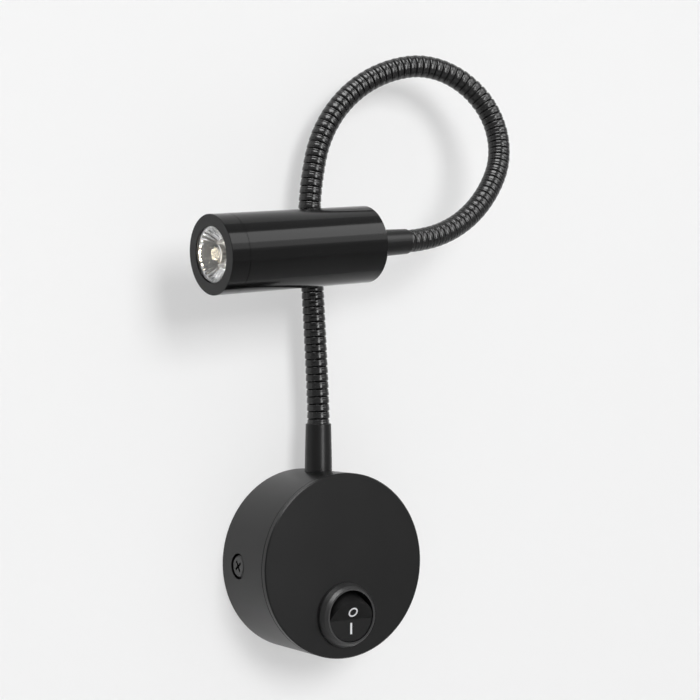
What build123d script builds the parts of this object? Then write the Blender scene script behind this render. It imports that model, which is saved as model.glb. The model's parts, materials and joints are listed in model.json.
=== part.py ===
from build123d import *
from math import cos, radians, sin, tan
import os

# Bedside wall reading lamp: a round base on the wall, a ribbed gooseneck and a small spot head.
# Millimetres and degrees. The wall is the plane y = 0, the lamp stands out towards -Y and +Z is up.
# "out" is a distance from the wall, so a point at x, out, z lies at (x, -out, z).

os.makedirs("parts", exist_ok=True)

# ---- driving dimensions ----

# fits
RUNNING = 0.05          # radial clearance of what turns in its seat
SLIP = 0.1              # radial clearance of what is pushed or screwed into its seat
LEAD_GAP = 0.1          # round a lead in its hole

# base housing
BASE_DIAMETER = 66.0
BASE_DEPTH = 30.5
BASE_WALL = 3.0
BASE_FACE = 2.5
BASE_EDGE = 0.4         # chamfer round the front face
RIM_GAP = 0.3           # housing rim off the wall
SEAM_SETBACK = 2.2      # fine turned line behind the front edge
SEAM_WIDTH = 0.4
SEAM_DEPTH = 0.3

# wall plate
PLATE_THICKNESS = 1.5
PLATE_CLEARANCE = 0.4
TAB_WIDTH = 12.0
TAB_REACH = 17.0        # how far a tab stands out from the wall
TAB_CLEARANCE = 0.2     # tab to the housing at the tab's edges
WALL_SLOT_SPACING = 38.0
WALL_SLOT_LENGTH = 8.0
WALL_SLOT_WIDTH = 4.4

# side screws, M4 pan head
SIDE_SCREW_OUT = 11.2
SIDE_SCREW_DIAMETER = 4.0
SIDE_SCREW_LENGTH = 6.0
SIDE_HEAD_DIAMETER = 8.0
SIDE_HEAD_HEIGHT = 1.9
SIDE_POCKET_DIAMETER = 9.2
SIDE_POCKET_DEPTH = 2.1
SIDE_RECESS_TURN = 35.0     # cross turned as the screw was left
RECESS_WIDTH = 0.9      # cross recess
RECESS_LENGTH = 4.4
RECESS_DEPTH = 1.3

# cable inlet
INLET_HOLE = 10.0
INLET_BORE = 6.4
INLET_FLANGE = 12.4
INLET_FLANGE_HEIGHT = 1.7

# terminal block
POLE_PITCH = 8.0
POLES = 3
BLOCK_BOTTOM = 10.5
BLOCK_HEIGHT = 9.0
BLOCK_DEPTH = 9.0
POLE_OUT = 5.0
POLE_BORE = 3.0
TERMINAL_SCREW_DIAMETER = 2.6
TERMINAL_HEAD_DIAMETER = 3.6
TERMINAL_HEAD_HEIGHT = 1.8

# earth point
EARTH_X = -12.0
EARTH_Z = -14.0
EARTH_SCREW_DIAMETER = 3.0
EARTH_HEAD_DIAMETER = 5.6
EARTH_HEAD_HEIGHT = 2.0
LUG_DIAMETER = 7.0
LUG_THICKNESS = 0.8
LUG_BARREL = 3.0
LUG_BARREL_BOTTOM = 4.5     # above the earth screw
LUG_BARREL_LENGTH = 4.5

# rocker switch, the common round panel size
SWITCH_MARGIN = 4.0         # from the bezel to the base's edge
BARREL_DIAMETER = 20.0
BARREL_WALL = 0.8
BARREL_FLOOR = 1.5
BEZEL_FLANGE = 1.5          # how far the bezel laps over the panel
BEZEL_PROUD = 4.2
BEZEL_SIDE = 1.2
BEZEL_LIP = 0.6
SNAP_WIDTH = 4.0
SNAP_LENGTH = 3.0
SNAP_RISE = 0.7
PIVOT_DEPTH = 5.8           # behind the bezel's front
TRUNNION_DIAMETER = 2.0
TRUNNION_GAP = 0.2          # from a trunnion's end to the barrel's outside
ROCK = 12.5                 # each way from the middle
ROCKER_CLEARANCE = 0.3
ROCKER_FACE = 5.5           # from the pivot to the valley between the two halves
ROCKER_UNDERSIDE = 1.5
STEM_DIAMETER = 4.8
STEM_LENGTH = 4.8
PLUNGER_DIAMETER = 2.4
PLUNGER_REACH = 6.0
PLUNGER_LENGTH = 4.5
SPRING_DIAMETER = 2.2
SPRING_WIRE = 0.35
SPRING_LENGTH = 2.4
MARK_OFFSET = 3.1
MARK_THICKNESS = 0.12
O_DIAMETER = 3.7
MARK_STROKE = 0.55
I_LENGTH = 4.0
LEVER_TILT = 8.0
LEVER_THICKNESS = 0.5
LEVER_WIDTH = 5.0
LEVER_END_GAP = 1.7         # from a lever's end to the barrel's wall
LEVER_ROOM = 0.4            # from the tilted lever to the barrel's floor
TERMINAL_WIDTH = 4.8
TERMINAL_THICKNESS = 0.8
TERMINAL_REACH = 7.5        # behind the barrel
LOAD_TERMINAL_INSET = 0.5   # from the lever's end

# LED driver, stuck to the inside of the base's face, above the switch and under the nut
DRIVER_SWITCH_GAP = 1.5
DRIVER_NUT_GAP = 2.5
DRIVER_CORNER_GAP = 2.8     # from a corner to the housing
DRIVER_WALL = 1.2
DRIVER_ROOM = 0.4           # between the lid and the capacitor
DRIVER_BOARD_THICKNESS = 1.2
DRIVER_BOARD_GAP = 0.5
CAPACITOR_DIAMETER = 8.0
CAPACITOR_LENGTH = 11.0
CAPACITOR_INSET = 3.5       # from the case's side
CAPACITOR_TOP_GAP = 3.0     # from the case's upper side
TRANSFORMER_WIDTH = 12.0
TRANSFORMER_HEIGHT = 11.0
TRANSFORMER_DEPTH = 7.2
TRANSFORMER_INSET = 5.0     # from the case's side
DRIVER_LEAD_SETBACK = 5.0   # from the lid's outside to the lead holes
NEUTRAL_INSET = 2.6         # lead holes from the case's sides
SWITCHED_INSET = 6.0
LAMP_LEAD_INSET = 4.0

# leads
LEAD_DIAMETER = 1.6
NECK_LEAD_DIAMETER = 1.8
LEAD_END = 0.4              # how far a lead shows inside the driver
LEAD_DROP = 6.5             # how far it hangs below the driver

# neck: links with ribs, each on the ball of the one below
NECK_SETBACK = 0.75         # towards the wall from the middle of the space for the lamp lead
LINK_PITCH = 10.9
LINK_RIBS = 4
RIB_DIAMETER = 8.2
GROOVE_DIAMETER = 7.0
RIB_CREST = 1.3
RIB_FOOT = 1.9
BALL_DIAMETER = 5.6
LINK_BORE_ROOM = 2.0        # wider than the lamp lead
MAX_BEND = 22.5             # at one joint, from straight
BEND_MARGIN = 1.0

# The neck's shape from the bottom, in eight stretches: the joints in each, the turn of each joint in
# the loop's plane (clockwise seen from the front) and its turn away from the wall.
NECK_JOINT_COUNT = (1, 5, 3, 5, 3, 3, 4, 1)
NECK_CURL_DEGREES = (-2.8, -0.3, 5.7, 13.1, 22.1, 21.7, 11.9, 7.3)
NECK_LEAN_DEGREES = (0.0, 0.0, 0.0, 2.6, 2.0, -3.6, -1.7, 1.6)

# sleeves and the nipples that fasten them
BASE_SLEEVE_LENGTH = 17.5
HEAD_SLEEVE_LENGTH = 18.0
NECK_TUCK = 6.4             # length of neck inside a sleeve
BASE_SLEEVE_ROOT = 10.0
BASE_SLEEVE_LIP = 0.55      # outside the ribs, at the sleeve's tip
HEAD_SLEEVE_ROOT = 9.7
HEAD_SLEEVE_LIP = 0.4
SLEEVE_ROUND = 0.2
SEAT_DEPTH = 0.5            # flat cut for the sleeve in the round housing
NIPPLE_DIAMETER = 8.0
NIPPLE_BORE = 5.0
NIPPLE_SPARE = 1.0
BOSS_WIDTH = 16.0
BOSS_DROP = 2.0             # from the housing's inside to the flat that the nut bears on
NUT_FLATS = 13.0
NUT_HEIGHT = 4.0
NUT_FLANGE = 14.4
NUT_FLANGE_HEIGHT = 1.0

# head
HEAD_DIAMETER = 27.0
HEAD_LENGTH = 64.0
HEAD_WALL = 1.6
HEAD_SHOULDER = 0.6         # step that the heat sink stops on
HEAD_REAR = 3.0
HEAD_EDGE = 0.5
RING_LENGTH = 7.0
RING_LIP = 1.2
RING_BEVEL = 0.15
RING_SEAM = 0.15            # bevels where the ring meets the tube
SPIGOT_LENGTH = 4.5
SPIGOT_WALL = 0.6
HOLDER_WALL = 0.9           # round the lens flange
LENS_LAP = 0.6              # ring's lip over the lens flange
LENS_FLANGE = 1.2
LENS_RECESS = 0.3           # from the ring's face to the lens's front
LENS_EDGE = 0.2
LENS_EDGE_GAP = 0.15        # round the lens in the ring's opening
LENS_STEP = 0.9             # from the flange's edge to the cone
LENS_REAR = 9.2
LENS_HEIGHT = 9.0           # behind the ring's lip
LENS_SWELL = 1.6            # how far the cone bulges: 1 is straight
LENS_STATIONS = 6
LENS_POCKET = 6.2
LENS_POCKET_DEPTH = 5.5
LENS_CROWN = 1.2            # dome at the pocket's bottom, towards the emitter
HOLDER_GAP = 0.4
BOARD_EDGE_GAP = 1.2        # from the board's edge to the holder's outside
BOARD_THICKNESS = 1.6
BOARD_SCREW_INSET = 2.2
BOARD_SCREW_DIAMETER = 1.8
BOARD_SCREW_LENGTH = 4.5
BOARD_HEAD_DIAMETER = 3.0
BOARD_HEAD_HEIGHT = 1.0
EMITTER_DIAMETER = 5.2
EMITTER_HEIGHT = 0.8
EMITTER_DOME = 4.6
HEAT_SINK_LENGTH = 10.0
FIN_GAP = 1.2
FIN_DEPTH = 2.2
FINS = 4
HEAT_SINK_BORE = 3.0

# ---- sizes that follow ----

BASE_RADIUS = BASE_DIAMETER / 2
BASE_INSIDE = BASE_RADIUS - BASE_WALL
FACE_INSIDE = BASE_DEPTH - BASE_FACE
TAB_FACE = (BASE_INSIDE ** 2 - (TAB_WIDTH / 2) ** 2) ** 0.5 - TAB_CLEARANCE
BOSS_FLAT = BASE_INSIDE - BOSS_DROP
NUT_BOTTOM = BOSS_FLAT - NUT_FLANGE_HEIGHT - NUT_HEIGHT - NIPPLE_SPARE

BEZEL_RADIUS = BARREL_DIAMETER / 2 + BEZEL_FLANGE
SWITCH_RADIUS = BARREL_DIAMETER / 2 - BARREL_WALL
SWITCH_Z = BEZEL_RADIUS + SWITCH_MARGIN - BASE_RADIUS
BEZEL_FRONT = BASE_DEPTH + BEZEL_PROUD
PIVOT_OUT = BEZEL_FRONT - PIVOT_DEPTH
TRUNNION_REACH = BARREL_DIAMETER / 2 - TRUNNION_GAP
LEVER_HALF = SWITCH_RADIUS - LEVER_END_GAP
LEVER_FRONT = PIVOT_OUT - PLUNGER_REACH - RUNNING
FULCRUM_OUT = LEVER_FRONT - LEVER_THICKNESS - 2 * RUNNING
FLOOR_FRONT = FULCRUM_OUT - LEVER_HALF * sin(radians(LEVER_TILT)) - LEVER_ROOM
BARREL_BACK = FLOOR_FRONT - BARREL_FLOOR
TERMINAL_TIP = BARREL_BACK - TERMINAL_REACH
LOAD_TERMINAL_Z = LEVER_HALF - LOAD_TERMINAL_INSET

DRIVER_BOTTOM = SWITCH_Z + BARREL_DIAMETER / 2 + DRIVER_SWITCH_GAP
DRIVER_TOP = NUT_BOTTOM - DRIVER_NUT_GAP
DRIVER_HALF = ((BASE_INSIDE - DRIVER_CORNER_GAP) ** 2 - DRIVER_TOP ** 2) ** 0.5
DRIVER_DEPTH = CAPACITOR_DIAMETER + DRIVER_ROOM + DRIVER_BOARD_THICKNESS + 2 * DRIVER_WALL
DRIVER_BACK = FACE_INSIDE - DRIVER_DEPTH
BOARD_BACK = FACE_INSIDE - DRIVER_WALL - DRIVER_BOARD_THICKNESS
DRIVER_LEAD_OUT = DRIVER_BACK + DRIVER_LEAD_SETBACK
NEUTRAL_X = NEUTRAL_INSET - DRIVER_HALF
SWITCHED_X = SWITCHED_INSET - DRIVER_HALF
LAMP_LEAD_X = DRIVER_HALF - LAMP_LEAD_INSET

BLOCK_FRONT = PLATE_THICKNESS + BLOCK_DEPTH
LUG_OUT = PLATE_THICKNESS + LUG_BARREL / 2
CHANNEL_OUT = (DRIVER_BACK + BLOCK_FRONT) / 2       # where the lamp lead passes
NECK_OUT = CHANNEL_OUT - NECK_SETBACK
SLEEVE_SEAT = BASE_RADIUS - SEAT_DEPTH
NECK_START = SLEEVE_SEAT + BASE_SLEEVE_LENGTH - NECK_TUCK
LINK_BORE = NECK_LEAD_DIAMETER + LINK_BORE_ROOM

HEAD_BACK = HEAD_SLEEVE_LENGTH - NECK_TUCK
HEAD_FRONT = HEAD_BACK + HEAD_LENGTH
RING_BACK = HEAD_FRONT - RING_LENGTH
HEAD_BORE = HEAD_DIAMETER / 2 - HEAD_WALL
SPIGOT_RADIUS = HEAD_BORE - SLIP
SPIGOT_BORE = SPIGOT_RADIUS - SPIGOT_WALL
HOLDER_RADIUS = SPIGOT_BORE - SLIP
LENS_RADIUS = HOLDER_RADIUS - HOLDER_WALL - SLIP
LENS_OPENING = LENS_RADIUS - LENS_LAP
LENS_CONE = LENS_RADIUS - LENS_STEP
LENS_FACE = HEAD_FRONT - RING_LIP
FLANGE_BACK = LENS_FACE - LENS_FLANGE
LENS_BACK = LENS_FACE - LENS_HEIGHT
BOARD_FRONT = LENS_BACK - SLIP
BOARD_REAR = BOARD_FRONT - BOARD_THICKNESS
BOARD_RADIUS = HOLDER_RADIUS - BOARD_EDGE_GAP
BOARD_SCREW_RADIUS = BOARD_RADIUS - BOARD_SCREW_INSET
HEAT_SINK_REAR = BOARD_REAR - HEAT_SINK_LENGTH


# ---- shapes used again and again ----

def export(name, *solids):
    """Write one node. Several solids make a group."""
    shape = solids[0] if len(solids) == 1 else Compound(children=list(solids))
    shape.label = name
    export_step(shape, f"parts/{name}.step")


def turned(*profile):
    """Solid of revolution about X through (station, radius) corners."""
    return revolve(make_face(Polyline(*profile, close=True)), Axis.X)


def ball(radius, station=0.0):
    """Sphere turned about X."""
    low, high = (station - radius, 0), (station + radius, 0)
    outline = [Line(low, high), ThreePointArc(low, (station, radius), high)]
    return revolve(make_face(outline), Axis.X)


def rod(radius, start, end):
    """Round bar along X."""
    return Pos((start + end) / 2, 0, 0) * Rot(0, 90, 0) * Cylinder(radius, end - start)


def block(x_low, x_high, out_low, out_high, z_low, z_high):
    """Square block given by its sides, with its depth counted out from the wall."""
    centre = Pos((x_low + x_high) / 2, -(out_low + out_high) / 2, (z_low + z_high) / 2)
    return centre * Box(x_high - x_low, out_high - out_low, z_high - z_low)


def disc(radius, out_low, out_high, x=0.0, z=0.0):
    """Round bar square to the wall."""
    return OUTWARD(x, z) * rod(radius, out_low, out_high)


def OUTWARD(x=0.0, z=0.0):
    """Frame whose X runs out from the wall."""
    return Plane(origin=(x, 0, z), x_dir=(0, -1, 0), z_dir=(0, 0, 1)).location


def upright(out, z=0.0):
    """Frame whose X runs up, above the middle of the base."""
    return Plane(origin=(0, -out, z), x_dir=(0, 0, 1), z_dir=(0, -1, 0)).location


def sideways(side):
    """Frame whose X runs outwards through a side screw."""
    return Plane(origin=(0, -SIDE_SCREW_OUT, 0), x_dir=(side, 0, 0), z_dir=(0, 0, 1)).location


def lead(diameter, *points):
    """Round lead along straight runs joined by arcs, through x, out, z points."""
    route = [Vector(x, -out, z) for x, out, z in points]
    radii = []
    for before, corner, after in zip(route, route[1:], route[2:]):
        turn = (corner - before).get_angle(after - corner)
        run = min((corner - before).length, (after - corner).length)
        radii.append(0.45 * run / tan(radians(turn / 2)))
    print("lead", diameter, "bend radii", *[round(radius, 1) for radius in radii])
    path = FilletPolyline(*route, radius=radii)
    section = Plane(path @ 0, z_dir=path % 0) * Circle(diameter / 2)
    return sweep(section, path)


def cross_recess():
    """Cutter for a cross recess, opening towards +X at X = 0."""
    arms = [Box(2 * RECESS_DEPTH, RECESS_LENGTH, RECESS_WIDTH),
            Box(2 * RECESS_DEPTH, RECESS_WIDTH, RECESS_LENGTH)]
    return arms[0] + arms[1]


def flange_nut():
    """Nut with its bearing face at X = 0 and its body towards -X."""
    hexagon = Plane.YZ * RegularPolygon(NUT_FLATS / 2, 6, major_radius=False)
    body = extrude(hexagon, -(NUT_HEIGHT + NUT_FLANGE_HEIGHT))
    flange = rod(NUT_FLANGE / 2, -NUT_FLANGE_HEIGHT, 0)
    bore = rod(NIPPLE_DIAMETER / 2 + RUNNING, -2 * NUT_HEIGHT, NUT_HEIGHT)
    return body + flange - bore


# ---- base ----

def base_housing():
    """Cup with its mouth to the wall, holes for switch and neck, and pockets for the side screws."""
    seam = BASE_DEPTH - SEAM_SETBACK
    cup = turned((RIM_GAP, BASE_INSIDE), (RIM_GAP, BASE_RADIUS),
                 (seam - SEAM_WIDTH, BASE_RADIUS),
                 (seam - SEAM_WIDTH / 2, BASE_RADIUS - SEAM_DEPTH), (seam, BASE_RADIUS),
                 (BASE_DEPTH - BASE_EDGE, BASE_RADIUS), (BASE_DEPTH, BASE_RADIUS - BASE_EDGE),
                 (BASE_DEPTH, 0), (FACE_INSIDE, 0), (FACE_INSIDE, BASE_INSIDE))
    half = BOSS_WIDTH / 2
    boss = block(-half, half, NECK_OUT - half, NECK_OUT + half, BOSS_FLAT, BASE_INSIDE + BASE_WALL / 3)
    body = OUTWARD() * cup + boss
    body -= upright(NECK_OUT, SLEEVE_SEAT) * rod(BASE_SLEEVE_ROOT / 2 + SLIP, 0, BASE_WALL)
    body -= upright(NECK_OUT) * rod(NIPPLE_DIAMETER / 2 + SLIP, BASE_INSIDE - BASE_WALL, BASE_RADIUS)
    body -= disc(BARREL_DIAMETER / 2 + SLIP, FACE_INSIDE - BASE_FACE, BASE_DEPTH + BASE_FACE, z=SWITCH_Z)
    for side in (-1, 1):
        hole = rod(SIDE_SCREW_DIAMETER / 2 + 2 * SLIP, BASE_INSIDE - BASE_WALL, BASE_RADIUS)
        pocket = rod(SIDE_POCKET_DIAMETER / 2, BASE_RADIUS - SIDE_POCKET_DEPTH, BASE_RADIUS + BASE_WALL)
        body -= sideways(side) * (hole + pocket)
    return body


def wall_plate():
    """Disc with two tabs bent out along the housing's sides, wall slots and the cable hole."""
    plate = disc(BASE_INSIDE - PLATE_CLEARANCE, 0, PLATE_THICKNESS)
    plate &= block(-TAB_FACE, TAB_FACE, 0, PLATE_THICKNESS, -BASE_RADIUS, BASE_RADIUS)
    half = TAB_WIDTH / 2
    for side in (-1, 1):
        low, high = sorted((side * (TAB_FACE - PLATE_THICKNESS), side * TAB_FACE))
        plate += block(low, high, 0, TAB_REACH, -half, half)
        plate -= sideways(side) * rod(SIDE_SCREW_DIAMETER / 2 + RUNNING, TAB_FACE - TAB_WIDTH, BASE_RADIUS)
        centre = Pos(side * WALL_SLOT_SPACING / 2, 0)
        slot = Plane.XZ * centre * SlotOverall(WALL_SLOT_LENGTH, WALL_SLOT_WIDTH)
        plate -= extrude(slot, PLATE_THICKNESS, both=True)
    plate -= disc(INLET_HOLE / 2, -PLATE_THICKNESS, 2 * PLATE_THICKNESS)
    plate -= disc(EARTH_SCREW_DIAMETER / 2 + RUNNING, -PLATE_THICKNESS, 2 * PLATE_THICKNESS, EARTH_X, EARTH_Z)
    return plate


def side_screw(side):
    """Pan head screw through the housing's wall into a tab."""
    seat = BASE_RADIUS - SIDE_POCKET_DEPTH
    top = seat + SIDE_HEAD_HEIGHT
    shoulder = SIDE_HEAD_HEIGHT / 3
    screw = turned((seat - SIDE_SCREW_LENGTH, 0), (seat - SIDE_SCREW_LENGTH, SIDE_SCREW_DIAMETER / 2),
                   (seat, SIDE_SCREW_DIAMETER / 2), (seat, SIDE_HEAD_DIAMETER / 2),
                   (top - shoulder, SIDE_HEAD_DIAMETER / 2), (top, SIDE_HEAD_DIAMETER / 2 - shoulder),
                   (top, 0))
    recess = Pos(top, 0, 0) * Rot(SIDE_RECESS_TURN, 0, 0) * cross_recess()
    return sideways(side) * (screw - recess)


def inlet_grommet():
    """Rubber bush in the wall plate's cable hole."""
    flange = PLATE_THICKNESS + INLET_FLANGE_HEIGHT
    hole = INLET_HOLE / 2 - RUNNING
    return OUTWARD() * turned((0, INLET_BORE / 2), (0, hole), (PLATE_THICKNESS, hole),
                              (PLATE_THICKNESS, INLET_FLANGE / 2), (flange, INLET_FLANGE / 2),
                              (flange, INLET_BORE / 2))


def pole_x(pole):
    """Where a terminal pole stands."""
    return (pole - (POLES - 1) / 2) * POLE_PITCH


def terminal_block():
    """Body with a wire hole through each pole and a screw hole from the front."""
    half = POLES * POLE_PITCH / 2
    top = BLOCK_BOTTOM + BLOCK_HEIGHT
    body = block(-half, half, PLATE_THICKNESS, BLOCK_FRONT, BLOCK_BOTTOM, top)
    for pole in range(POLES):
        wire_hole = upright(POLE_OUT, BLOCK_BOTTOM) * rod(POLE_BORE / 2, -POLE_BORE, 2 * BLOCK_HEIGHT)
        body -= Pos(pole_x(pole), 0, 0) * wire_hole
        body -= disc(TERMINAL_HEAD_DIAMETER / 2 + SLIP, POLE_OUT, BLOCK_FRONT + POLE_OUT,
                     pole_x(pole), BLOCK_BOTTOM + BLOCK_HEIGHT / 2)
    return body


def terminal_screw(pole):
    """Clamping screw whose tip presses on the lead in its pole."""
    tip = POLE_OUT + LEAD_DIAMETER / 2
    head = BLOCK_FRONT - SLIP
    screw = turned((tip, 0), (tip, TERMINAL_SCREW_DIAMETER / 2),
                   (head - TERMINAL_HEAD_HEIGHT, TERMINAL_SCREW_DIAMETER / 2),
                   (head - TERMINAL_HEAD_HEIGHT, TERMINAL_HEAD_DIAMETER / 2),
                   (head, TERMINAL_HEAD_DIAMETER / 2), (head, 0))
    slot = Pos(head, 0, 0) * Box(TERMINAL_HEAD_HEIGHT, TERMINAL_HEAD_DIAMETER * 2, TERMINAL_HEAD_HEIGHT / 3)
    return OUTWARD(pole_x(pole), BLOCK_BOTTOM + BLOCK_HEIGHT / 2) * (screw - slot)


def earth_lug():
    """Ring lug under the earth screw, with a barrel for its lead."""
    flat = PLATE_THICKNESS + LUG_THICKNESS
    bottom = EARTH_Z + LUG_BARREL_BOTTOM
    half = LUG_BARREL / 2
    ring = disc(LUG_DIAMETER / 2, PLATE_THICKNESS, flat, EARTH_X, EARTH_Z)
    tongue = block(EARTH_X - half, EARTH_X + half, PLATE_THICKNESS, flat, EARTH_Z, bottom + half)
    barrel = Pos(EARTH_X, 0, 0) * upright(LUG_OUT, bottom) * rod(half, 0, LUG_BARREL_LENGTH)
    lug = ring + tongue + barrel
    lug -= Pos(EARTH_X, 0, 0) * upright(LUG_OUT, bottom) * rod(LEAD_DIAMETER / 2 + RUNNING, half,
                                                               2 * LUG_BARREL_LENGTH)
    return lug - disc(EARTH_SCREW_DIAMETER / 2 + RUNNING, 0, BLOCK_DEPTH, EARTH_X, EARTH_Z)


def earth_screw():
    """Screw that holds the lug on the wall plate."""
    seat = PLATE_THICKNESS + LUG_THICKNESS
    top = seat + EARTH_HEAD_HEIGHT
    screw = turned((RIM_GAP, 0), (RIM_GAP, EARTH_SCREW_DIAMETER / 2), (seat, EARTH_SCREW_DIAMETER / 2),
                   (seat, EARTH_HEAD_DIAMETER / 2), (top, EARTH_HEAD_DIAMETER / 2), (top, 0))
    return OUTWARD(EARTH_X, EARTH_Z) * (screw - Pos(top, 0, 0) * cross_recess())


# ---- switch ----

def switch_body():
    """Bezel and barrel in one, with trunnion holes, snaps behind the panel and terminal slots."""
    side = BASE_DEPTH + BEZEL_SIDE
    inner = SWITCH_RADIUS
    bezel = BEZEL_RADIUS
    barrel = BARREL_DIAMETER / 2
    body = turned((BARREL_BACK, 0), (BARREL_BACK, barrel), (BASE_DEPTH, barrel), (BASE_DEPTH, bezel),
                  (side, bezel), (BEZEL_FRONT - BEZEL_PROUD / 4, (bezel + inner) / 2 + BEZEL_LIP / 2),
                  (BEZEL_FRONT, inner + BEZEL_LIP), (BEZEL_FRONT, inner), (FLOOR_FRONT, inner),
                  (FLOOR_FRONT, 0))
    body = OUTWARD(z=SWITCH_Z) * body
    half = SNAP_WIDTH / 2
    snap_front = FACE_INSIDE - SLIP
    for up in (-1, 1):
        foot, crest = barrel - SNAP_RISE / 2, barrel + SNAP_RISE
        outline = [(snap_front, foot), (snap_front, crest), (snap_front - SNAP_LENGTH, barrel - SLIP),
                   (snap_front - SNAP_LENGTH, foot)]
        face = make_face(Polyline(*[(0, -out, SWITCH_Z + up * high) for out, high in outline], close=True))
        body += extrude(face, half, dir=(1, 0, 0), both=True)
    trunnion = rod(TRUNNION_DIAMETER / 2 + RUNNING, -TRUNNION_REACH - SLIP, TRUNNION_REACH + SLIP)
    body -= Pos(0, -PIVOT_OUT, SWITCH_Z) * trunnion
    for high in (0, LOAD_TERMINAL_Z):
        body -= terminal_tab(high, BARREL_BACK - BARREL_FLOOR, FLOOR_FRONT + BARREL_FLOOR, SLIP / 2)
    return body


def terminal_tab(high, out_low, out_high, grow=0.0):
    """Flat blade square to the wall, high above the switch's middle."""
    half = TERMINAL_WIDTH / 2 + grow
    thin = TERMINAL_THICKNESS / 2 + grow
    z = SWITCH_Z + high
    return block(-half, half, out_low, out_high, z - thin, z + thin)


def common_terminal():
    """Blade whose inner end is the fulcrum of the contact lever."""
    return terminal_tab(0, TERMINAL_TIP, FULCRUM_OUT)


def load_terminal():
    """Blade with a contact pad under the lever's upper end."""
    reach = LOAD_TERMINAL_Z + TERMINAL_THICKNESS / 2
    lever_back = FULCRUM_OUT + 2 * RUNNING - reach * tan(radians(LEVER_TILT))
    half = TERMINAL_WIDTH / 2
    z = SWITCH_Z + LOAD_TERMINAL_Z
    low = z - 2 * TERMINAL_THICKNESS
    pad = block(-half, half, FLOOR_FRONT, lever_back - RUNNING, low, z + TERMINAL_THICKNESS / 2)
    return terminal_tab(LOAD_TERMINAL_Z, TERMINAL_TIP, FLOOR_FRONT) + pad


def switch_contact():
    """Rocking contact lever, closed on the load terminal."""
    half = LEVER_HALF
    back = 2 * RUNNING
    strip = block(-LEVER_WIDTH / 2, LEVER_WIDTH / 2, back, back + LEVER_THICKNESS, -half, half)
    return Pos(0, -FULCRUM_OUT, SWITCH_Z) * Rot(-LEVER_TILT, 0, 0) * strip


def in_rocker():
    """Frame of the rocker, with its lower half pressed in. X is the pivot and -Y leaves the face."""
    return Pos(0, -PIVOT_OUT, SWITCH_Z) * Rot(ROCK, 0, 0)


def switch_rocker():
    """Rocker that clears the round opening at both ends of its travel, with a valley in its face."""
    radius = SWITCH_RADIUS - ROCKER_CLEARANCE
    plug = Rot(90, 0, 0) * Cylinder(radius, 4 * radius)
    body = Rot(ROCK, 0, 0) * plug & Rot(-ROCK, 0, 0) * plug
    rise = ROCKER_FACE + radius * tan(radians(ROCK))
    outline = [(0, -ROCKER_FACE, 0), (0, -rise, radius), (0, ROCKER_UNDERSIDE, radius),
               (0, ROCKER_UNDERSIDE, -radius), (0, -rise, -radius)]
    body &= extrude(make_face(Polyline(*outline, close=True)), radius, dir=(1, 0, 0), both=True)
    stem = Pos(0, STEM_LENGTH / 2, 0) * Rot(90, 0, 0) * Cylinder(STEM_DIAMETER / 2, STEM_LENGTH)
    bore_top = PLUNGER_REACH - PLUNGER_LENGTH - SPRING_LENGTH
    bore = Pos(0, (bore_top + PLUNGER_REACH) / 2, 0) * Rot(90, 0, 0) * Cylinder(
        PLUNGER_DIAMETER / 2 + RUNNING, PLUNGER_REACH - bore_top)
    body = body + stem + rod(TRUNNION_DIAMETER / 2, -TRUNNION_REACH, TRUNNION_REACH)
    return in_rocker() * (body - bore)


def switch_plunger():
    """Round-nosed pin between the rocker and the lever."""
    radius = PLUNGER_DIAMETER / 2
    nose = PLUNGER_REACH - radius
    shank_top = PLUNGER_REACH - PLUNGER_LENGTH
    shank = Pos(0, (nose + shank_top) / 2, 0) * Rot(90, 0, 0) * Cylinder(radius, nose - shank_top)
    return in_rocker() * (shank + Pos(0, nose, 0) * Sphere(radius))


def switch_spring():
    """Spring behind the plunger, as a sleeve of its coils."""
    top = PLUNGER_REACH - PLUNGER_LENGTH
    centre = Pos(0, top - SPRING_LENGTH / 2, 0) * Rot(90, 0, 0)
    outer = centre * Cylinder(SPRING_DIAMETER / 2, SPRING_LENGTH)
    return in_rocker() * (outer - centre * Cylinder(SPRING_DIAMETER / 2 - SPRING_WIRE, 2 * SPRING_LENGTH))


def mark_plane(up):
    """Plane on one half of the rocker's face, MARK_OFFSET from the valley."""
    tilt = radians(ROCK)
    origin = (0, -ROCKER_FACE - MARK_OFFSET * sin(tilt), up * MARK_OFFSET * cos(tilt))
    return Plane(origin=origin, x_dir=(1, 0, 0), z_dir=(0, -cos(tilt), -up * sin(tilt)))


def rocker_marks():
    """O on the upper half and I on the lower half."""
    ring = Circle(O_DIAMETER / 2) - Circle(O_DIAMETER / 2 - MARK_STROKE)
    bar = Rectangle(MARK_STROKE * 1.3, I_LENGTH)
    return [in_rocker() * extrude(mark_plane(up) * mark, MARK_THICKNESS)
            for up, mark in ((1, ring), (-1, bar))]


# ---- driver ----

def driver_case():
    """Tray stuck to the housing's face, open towards the wall, with lead holes in its lower side."""
    half = DRIVER_HALF
    wall = DRIVER_WALL
    case = block(-half, half, DRIVER_BACK + wall, FACE_INSIDE, DRIVER_BOTTOM, DRIVER_TOP)
    case -= block(wall - half, half - wall, DRIVER_BACK, FACE_INSIDE - wall,
                  DRIVER_BOTTOM + wall, DRIVER_TOP - wall)
    for x, diameter in ((SWITCHED_X, LEAD_DIAMETER), (NEUTRAL_X, LEAD_DIAMETER),
                        (LAMP_LEAD_X, NECK_LEAD_DIAMETER)):
        hole = upright(DRIVER_LEAD_OUT, DRIVER_BOTTOM) * rod(diameter / 2 + LEAD_GAP, -wall, 2 * wall)
        case -= Pos(x, 0, 0) * hole
    return case


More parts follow.
